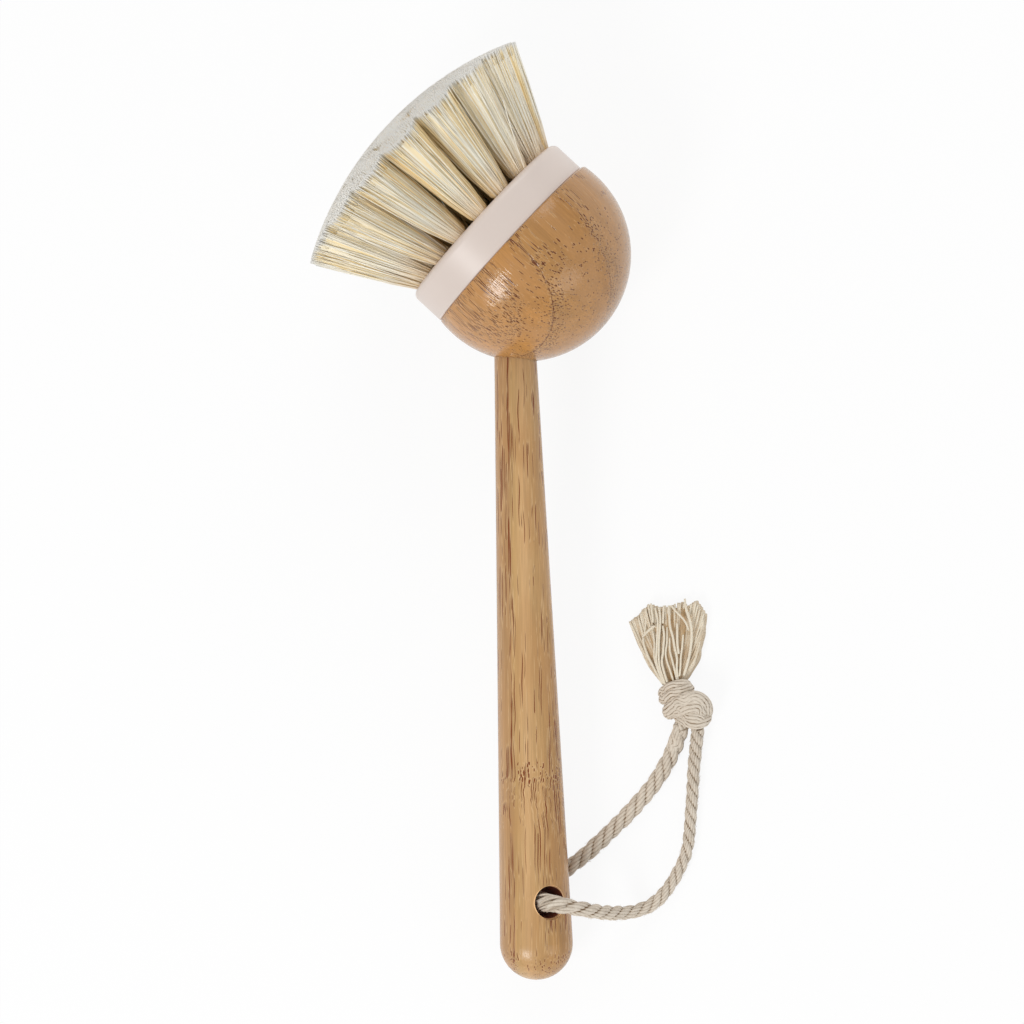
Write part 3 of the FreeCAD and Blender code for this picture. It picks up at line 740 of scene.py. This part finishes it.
# Loose yarns on top, each along its own line
TOP_YARNS = [
    [(37.9, -28.0, 2.6), (39.4, -32.6, 3.4), (39.3, -34.9, 3.6), (40.6, -38.2, 4.3), (42.6, -42.0, 5.0),
     (44.9, -46.1, 5.2)],
    [(39.6, -27.3, 2.8), (40.2, -28.3, 3.0), (40.0, -30.3, 3.5), (39.8, -32.6, 4.2)],
    [(39.5, -33.0, 4.0), (41.0, -31.3, 4.7), (42.9, -30.4, 5.2)],
    [(41.6, -24.2, 3.4), (41.8, -26.1, 3.8), (42.2, -27.9, 4.0), (42.2, -29.4, 4.2)],
    [(41.8, -30.2, 4.0), (42.4, -32.7, 4.3), (42.7, -35.4, 4.6), (42.5, -37.9, 4.9), (42.9, -40.6, 5.2),
     (45.0, -45.7, 5.6)],
    [(42.7, -25.3, 3.6), (43.5, -27.7, 4.2), (43.7, -30.8, 4.7), (43.4, -33.9, 5.0), (43.3, -37.0, 5.2),
     (43.1, -39.7, 5.4), (44.1, -43.4, 5.8), (45.4, -46.1, 5.8)],
    [(43.8, -25.2, 3.6), (44.3, -27.5, 4.2), (44.3, -30.5, 4.7), (44.0, -33.7, 5.0), (43.9, -36.6, 5.2),
     (43.9, -39.5, 5.4), (44.3, -42.4, 5.8), (45.7, -46.1, 6.0)],
    [(45.1, -24.9, 3.4), (45.1, -27.0, 3.9), (45.0, -29.7, 4.3)],
    [(44.9, -30.3, 4.2), (45.5, -32.8, 4.8), (45.2, -35.7, 5.1), (45.1, -38.0, 5.4), (44.7, -39.7, 5.6),
     (45.1, -42.1, 5.9), (46.3, -45.6, 6.2)],
    [(46.1, -30.7, 4.2), (46.3, -34.6, 5.0), (45.7, -37.8, 5.4), (46.1, -39.8, 5.7), (47.1, -42.5, 6.0),
     (48.0, -45.4, 6.2)],
    [(46.9, -33.6, 4.6), (46.8, -36.7, 5.2), (47.5, -39.2, 5.6), (48.2, -41.8, 6.0), (49.0, -45.4, 6.1)],
    [(46.5, -24.9, 3.6), (46.8, -28.0, 4.4), (47.0, -30.9, 4.8), (47.9, -33.5, 5.3), (48.3, -36.4, 5.6),
     (49.1, -39.3, 5.8), (48.8, -42.0, 6.0), (49.2, -45.3, 6.1)],
    [(47.2, -24.9, 3.6), (48.7, -26.8, 4.2), (50.5, -28.4, 4.6), (51.6, -30.1, 4.8), (52.2, -31.8, 5.0)],
    [(50.9, -23.2, 3.2), (51.1, -25.2, 3.9), (51.9, -27.6, 4.5), (52.7, -29.7, 4.9), (53.0, -32.3, 5.1),
     (52.9, -34.8, 5.2), (52.5, -37.4, 5.2), (51.8, -40.7, 5.3), (50.6, -44.1, 5.6)],
    [(48.9, -29.8, 4.4), (49.0, -32.9, 4.9), (49.0, -35.4, 5.2), (49.4, -38.1, 5.5)],
    [(50.6, -32.9, 4.8), (50.4, -36.0, 5.2), (49.9, -39.3, 5.5), (49.9, -41.8, 5.7), (49.6, -44.1, 6.0)],
]
top_lines = np.stack([smooth_line(points, 40) for points in TOP_YARNS])
# Yarns that lie side by side as flat locks, each between three lines: a wide bed under the loose yarns, and a lock
# at either edge of the tassel
LOCKS = {
    "right": (
        [(50.6, -41.5, 3.4), (51.5, -37.0, 3.6), (51.9, -33.0, 3.4), (52.0, -28.5, 2.8), (51.4, -25.3, 2.2)],
        [(51.2, -41.0, 3.0), (52.8, -36.5, 3.2), (54.0, -32.0, 3.0), (54.4, -27.5, 2.4), (53.8, -23.8, 1.9)],
        [(51.8, -40.5, 2.0), (53.6, -36.6, 2.2), (55.0, -33.6, 2.2), (55.8, -30.4, 2.0), (56.1, -27.2, 1.6)],
    ),
    "bed": (
        [(45.0, -46.0, 3.0), (42.4, -41.0, 3.4), (40.6, -36.0, 3.0), (39.8, -31.0, 2.4), (39.2, -27.6, 1.8)],
        [(47.4, -46.0, 4.6), (46.8, -41.0, 4.8), (46.4, -36.0, 4.2), (46.2, -31.0, 3.4), (46.0, -25.6, 2.4)],
        [(49.8, -45.6, 3.0), (51.0, -41.0, 3.6), (51.8, -36.0, 3.4), (52.2, -31.0, 3.0), (51.6, -25.6, 2.2)],
    ),
    "left": (
        [(40.4, -36.6, 2.2), (39.2, -34.4, 2.2), (38.2, -32.8, 2.0), (36.8, -31.0, 1.8), (35.4, -28.9, 1.5)],
        [(41.0, -36.0, 2.6), (39.9, -33.8, 2.5), (38.9, -32.0, 2.3), (37.7, -30.0, 2.1), (36.4, -28.1, 1.8)],
        [(41.6, -35.4, 2.8), (40.6, -33.4, 2.7), (39.7, -31.4, 2.5), (38.8, -29.2, 2.3), (37.6, -27.4, 2.0)],
    ),
}


def lock(sides_of_lock, count, radius, tone, seed):
    """Yarns of a lock: yarn f lies between the left, middle and right line, in straight proportion."""
    left, middle, right = (smooth_line(points, 24) for points in sides_of_lock)
    share = np.linspace(0, 1, count)[:, None, None]
    lines = np.where(share < 0.5, left + (middle - left) * share * 2, middle + (right - middle) * (share * 2 - 1))
    return flat_yarns(lines, radius, 10, tone, np.random.default_rng(seed))


# Painted shade: the lower layers are painted darker than the upper ones, the bed under the loose yarns darkest, and
# the loose yarns on top palest
tassel_shapes = [
    tassel_layer(30, 0.58, (0.8, 0.75), (2.6, 1.6), 0.3, 0.2, 11),
    tassel_layer(40, 0.5, (2.4, 1.4), (4.6, 2.6), 0.25, 0.75, 12),
    tassel_layer(44, 0.3, (4.4, 2.4), (5.4, 3.2), 0.1, 0.8, 13),
    lock(LOCKS["bed"], 18, 0.75, 0.62, 16),
    lock(LOCKS["right"], 9, 0.62, 0.3, 14),
    lock(LOCKS["left"], 7, 0.4, 0.3, 15),
    flat_yarns(top_lines, 0.31, 10, -0.25, np.random.default_rng(17)),
]
loose_cotton = spun_cotton("tassel_cotton_combed", "#E9DFCB", "#A67A30")
cord_tassel = make_piece("cord_tassel_yarns", tassel_shapes, loose_cotton)

for piece, node in ((hanging_cord, "hanging_cord"), (cord_knot, "cord_knot"), (cord_tassel, "cord_tassel")):
    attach(piece, "root")
    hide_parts(node)


# ---- Bristles

FILAMENTS = {"outer": 340, "middle": 240, "inner": 240, "centre": 240}
FILAMENT_RADIUS = 0.15
# Shares of a filament's length at which it is drawn, close together where it leaves the hole
FILAMENT_SHARES = np.array((0.0, 0.04, 0.075, 0.3, 0.65, 1.0))
# How far down the hole filaments start, and within how much of the way out of it they spread
DOWN_HOLE = 1.5
MOUTH_ROUND = 0.7
TUFT_FLARE = math.tan(math.radians(7.0))
# A tuft's slope of strays, its spread at the mouth and how much paler it is painted: the outer ring paler as painted
# light, the centre and inner rings darker as painted shade
OUTER_MANNER = (0.02, 0.9, 0.12)
INNER_MANNER = (0.07, 1.6, -0.12)
RIBS = 72
MIDDLE_SPREAD = 0.8
MIDDLE_BELOW_TRIM = 1.5
STUBS = 330
STUB_RADIUS = 0.22
STUBS_FROM = 3.4
# The trimmed dome leans towards the camera by this, to show as much of the cut ends as the photograph does
TRIM_SHOWN = 4.0
HIGHEST_TIP = 77.9
DARKEST_TONE = 0.3
bristle = plant_bristle()


def reach_of_trim(start, direction):
    """How far a straight filament runs before it meets the trimmed dome, from the equation of the sphere."""
    offset = start - TRIM_CENTRE - SQUARE * TRIM_SHOWN
    along = (offset * direction).sum(-1)
    return -along + np.sqrt(along**2 - (offset**2).sum(-1) + TRIM_RADIUS**2)


def painted_facing_light(out, outwards):
    """Painted light and shade, by the way a strand faces: how much paler it is painted where it faces out of the
    brush or towards the camera, and how golden on a tuft's sides, where the light has come through other strands."""
    return 0.7 * (np.maximum(out @ outwards, out @ SQUARE) - 0.55)


def tuft(ring_name, mouth, direction, sideways, outwards, stray_slope, widening, paler):
    """Filaments from a round hole: each starts at radius r in the hole, leans out in proportion to r, spreads by
    (1 - exp(-d / 0.7)) (1 - 0.75 t) at distance d and share t, bows by a parabola and ends on the trimmed dome."""
    count = FILAMENTS[ring_name]
    other = np.cross(direction, sideways)
    turn = dice.uniform(0, 2 * math.pi, count)
    radial = np.sqrt(dice.uniform(0.62, 1, count))
    out = np.cos(turn)[:, None] * sideways + np.sin(turn)[:, None] * other
    root = mouth + out * (radial * (TUFT_RADIUS - FILAMENT_RADIUS))[:, None] - direction * DOWN_HOLE
    stray = np.clip(dice.normal(0, stray_slope, (count, 2)), -1.1 * stray_slope, 1.1 * stray_slope)
    slope = direction + out * (radial * TUFT_FLARE)[:, None] + stray[:, :1] * sideways + stray[:, 1:] * other
    slope /= np.linalg.norm(slope, axis=1, keepdims=True)
    reach = reach_of_trim(root, slope) - np.abs(dice.normal(0, 0.18, count))
    t = FILAMENT_SHARES
    distance = np.maximum(reach[:, None] * t - DOWN_HOLE, 0)
    spread = widening * radial[:, None] * (1 - np.exp(-distance / MOUTH_ROUND)) * (1 - 0.75 * t)
    bow = dice.normal(0, 0.3, (count, 2))
    curve = (4 * t * (1 - t))[None, :, None]
    paths = root[:, None] + slope[:, None] * (reach[:, None] * t)[..., None] + out[:, None] * spread[..., None]
    paths = paths + curve * (bow[:, None, :1] * sideways + bow[:, None, 1:] * other)
    # Painted light and shade: strands at the outside are painted paler, for the light all round them, and the deeper
    # ones darker and more golden, for only what the others let through
    tone = dice.normal(0.62, 0.13, count) + (radial - 0.92) * 2.4 + paler + painted_facing_light(out, outwards)
    return filament_tubes(paths, FILAMENT_RADIUS, np.clip(tone, DARKEST_TONE, 1), t)


def packed_middle(mouth, direction, outwards, paler):
    """The filaments in a tuft's middle, too close to tell apart, as one ribbed tube along the tuft: at distance d
    its radius is that of the hole, plus a part in proportion to d, plus 0.8 (1 - exp(-d / 0.7)), times a random
    share for each rib."""
    end = reach_of_trim(mouth, direction) - MIDDLE_BELOW_TRIM
    t = np.array((-DOWN_HOLE / end, 0.0, 0.02, 0.05, 0.5, 0.9, 1.0))
    path = laid_down(mouth + direction * (end * t)[:, None])[None]
    distance = np.maximum(t, 0) * end
    wide = TUFT_RADIUS + distance * TUFT_FLARE + MIDDLE_SPREAD * (1 - np.exp(-distance / MOUTH_ROUND))
    rib = dice.uniform(0.84, 0.95, RIBS)
    steady = steady_direction(path)
    normal, binormal = frames_along(path, steady)[1:]
    angle = np.arange(RIBS)[:, None] * (2 * math.pi / RIBS)
    out = (normal[0, 0] * np.cos(angle) + binormal[0, 0] * np.sin(angle)) @ LAID_DOWN
    # Painted shade: the packed middle is painted more golden than the strands over it and its deeper ribs darker,
    # with the same painted light by facing and by ring; its ends get only part of the painted white of the cut
    tone = dice.normal(0.42, 0.1, RIBS) + (rib - 0.9) * 3 + paler + painted_facing_light(out, outwards)
    marks = {
        "tone": np.clip(tone, DARKEST_TONE, 1)[None, None],
        "along": np.maximum(t, 0)[None, :, None] * 0.97,
    }
    return tubes(path, (wide[:, None] * rib)[None], RIBS, steady, marks)


def cut_ends(mouth, direction, sideways):
    """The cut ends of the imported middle's filaments, as short stubs: stub k of 330 stands at radius sqrt(k / 330)
    and angle k times the golden angle, leans out in proportion to its radius and ends near the trimmed dome."""
    other = np.cross(direction, sideways)
    turn = np.arange(STUBS) * (math.pi * (3 - math.sqrt(5)))
    radial = np.sqrt((np.arange(STUBS) + 0.5) / STUBS) + dice.normal(0, 0.012, STUBS)
    out = np.cos(turn)[:, None] * sideways + np.sin(turn)[:, None] * other
    depth = reach_of_trim(mouth, direction) - STUBS_FROM
    wide = (TUFT_RADIUS + depth * TUFT_FLARE + MIDDLE_SPREAD) * 0.93
    low = mouth + direction * depth + out * (radial * wide)[:, None]
    slope = direction + out * (radial * TUFT_FLARE)[:, None]
    slope /= np.linalg.norm(slope, axis=1, keepdims=True)
    reach = reach_of_trim(low, slope) - np.abs(dice.normal(0, 0.12, STUBS))
    paths = np.stack((low, low + slope * reach[:, None]), 1)
    # Painted light: the stubs are painted pale, and the painted white of the cut runs along their length
    tone = np.clip(dice.normal(0.75, 0.2, STUBS), DARKEST_TONE, 1)
    return filament_tubes(paths, STUB_RADIUS, tone, np.array((0.9, 1.0)))


def filament_tubes(paths, radius, tone, share):
    """Three-sided filaments along paths given in the brush's frame, laid down and kept off the floor, and the
    few highest strays kept near the solid tufts' height."""
    laid = laid_down(paths)
    laid[..., 2] = np.clip(laid[..., 2], radius + 0.05, HIGHEST_TIP)
    marks = {"tone": tone[:, None, None], "along": share[None, :, None]}
    return tubes(laid, radius, 3, steady_direction(laid), marks)


def tuft_places():
    """Node, ring, hole mouth, direction, sideways and outwards of each tuft: one in the middle and three rings."""
    places = [("tuft_centre", "centre", BLOCK_FRONT, LEAN, ACROSS, SQUARE)]
    for ring_name, ring in RINGS.items():
        lean = OUTER_LEAN * ring / 3
        for index in range(6 * ring):
            angle = RING_START + 2 * math.pi * index / (6 * ring)
            outwards = SQUARE * math.cos(angle) + ACROSS * math.sin(angle)
            direction = LEAN * math.cos(lean) + outwards * math.sin(lean)
            mouth = BLOCK_FRONT + outwards * RING_PITCH * ring
            node = "tuft_%s_%02d" % (ring_name, index + 1)
            places.append((node, ring_name, mouth, direction, np.cross(LEAN, outwards), outwards))
    return places


# A few filaments that stand across the others, as three points each in the brush's frame, and their tone
STRAYS = [
    ([(-13.2, 187.4, 21.5), (-16.5, 194.6, 24.5), (-20.4, 202.2, 26.5)], 1.0),
    ([(-10.5, 189.2, 18.0), (-13.5, 194.4, 20.0), (-16.6, 199.5, 22.0)], 0.25),
    ([(-9.2, 190.8, 17.0), (-12.4, 194.4, 19.0), (-15.2, 197.6, 20.0)], 0.2),
    ([(-19.7, 181.2, 20.0), (-29.1, 184.9, 25.0), (-41.3, 190.5, 29.0)], 1.0),
    ([(5.1, 201.6, 20.0), (1.6, 212.2, 25.0), (-0.9, 222.3, 29.0)], 1.0),
]

for node, ring_name, mouth, direction, sideways, outwards in tuft_places():
    manner = OUTER_MANNER if ring_name == "outer" else INNER_MANNER
    shapes = [
        tuft(ring_name, mouth, direction, sideways, outwards, *manner),
        packed_middle(mouth, direction, outwards, manner[-1]),
        cut_ends(mouth, direction, sideways),
    ]
    if node == "tuft_outer_18":
        for points, tone in STRAYS:
            line = smooth_line(points, 12)[None]
            shapes.append(filament_tubes(line, FILAMENT_RADIUS, np.array([tone]), np.linspace(0, 1, 12)))
    filaments = make_piece(node + "_filaments", shapes, bristle)
    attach(filaments, "root")
    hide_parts(node)


# ---- CAD nodes that stay get their materials

def dress(node, material):
    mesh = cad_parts[node].data
    mesh.materials.clear()
    mesh.materials.append(material)


dress("handle", handle_bamboo)
dress("ball_head", ball_bamboo)
dress("bristle_block", moulded_polypropylene())
dress("tuft_staples", drawn_steel())
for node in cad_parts:
    if node.startswith("tuft_") and node != "tuft_staples":
        dress(node, bristle)
for node in ("hanging_cord", "cord_knot", "cord_tassel"):
    dress(node, cotton)


# ---- Floor, world and lamps

# The sky is a plain even light, and only the floor is seen behind the brush
AMBIENT = 0.53
world = bpy.data.worlds.new("studio")
world.use_nodes = True
world.node_tree.nodes.clear()
sky = add_node(world.node_tree, "Background", {0: (1.0, 1.0, 1.0, 1.0), 1: AMBIENT})
add_node(world.node_tree, "OutputWorld", {0: sky})
bpy.context.scene.world = world

floor_mesh = bpy.data.meshes.new("floor")
floor_mesh.from_pydata([(-6, -6, -1e-5), (6, -6, -1e-5), (6, 6, -1e-5), (-6, 6, -1e-5)], [], [(0, 1, 2, 3)])
floor = bpy.data.objects.new("floor", floor_mesh)
bpy.context.scene.collection.objects.link(floor)
floor_paint = bpy.data.materials.new("floor_white")
floor_paint.use_nodes = True
tree = floor_paint.node_tree
tree.nodes.clear()
# White to the camera, to reflections and through clear pieces, and still a floor that takes the shadow
path = add_node(tree, "LightPath").outputs
either = add_node(tree, "Math", {0: path["Is Camera Ray"], 1: path["Is Glossy Ray"]}, operation="MAXIMUM")
shown = add_node(tree, "Math", {0: either, 1: path["Is Transmission Ray"]}, operation="MAXIMUM")
glow_share = add_node(tree, "Math", {0: shown, 1: 0.9}, operation="MULTIPLY")
matt = add_node(tree, "BsdfDiffuse", {0: (0.9, 0.9, 0.9, 1.0)})
glow = add_node(tree, "Emission", {0: (1.0, 1.0, 1.0, 1.0), 1: 1.0})
mixed = add_node(tree, "MixShader", {0: glow_share, 1: matt, 2: glow})
add_node(tree, "OutputMaterial", {0: mixed})
floor_mesh.materials.append(floor_paint)


def softbox(name, towards, distance, width, height, radiance):
    """A lamp that faces the ball from a direction given as right, up and out of the photograph. Its power in
    watts is radiance times pi times its area."""
    aim = PHOTO_RIGHT * towards[0] + PHOTO_UP * towards[1] + SQUARE * towards[2]
    aim = aim / np.linalg.norm(aim)
    right = np.cross(PHOTO_UP, aim)
    right /= np.linalg.norm(right)
    lamp = bpy.data.lights.new(name, "AREA")
    lamp.shape = "RECTANGLE"
    lamp.size = width
    lamp.size_y = height
    lamp.energy = radiance * math.pi * width * height
    holder = bpy.data.objects.new(name, lamp)
    place = laid_down(BALL_CENTRE + aim * distance / MM)
    holder.matrix_world = matrix_at(place, right, np.cross(aim, right), aim)
    bpy.context.scene.collection.objects.link(holder)


softbox("key_softbox", (-0.459, -0.612, 0.645), 1.2, 0.34, 0.46, 11.9)
softbox("fill_softbox", (0.699, -0.468, 0.539), 1.2, 0.5, 0.45, 1.8)
softbox("top_softbox", (0.05, 0.85, 0.5), 1.3, 1.1, 0.8, 2.2)
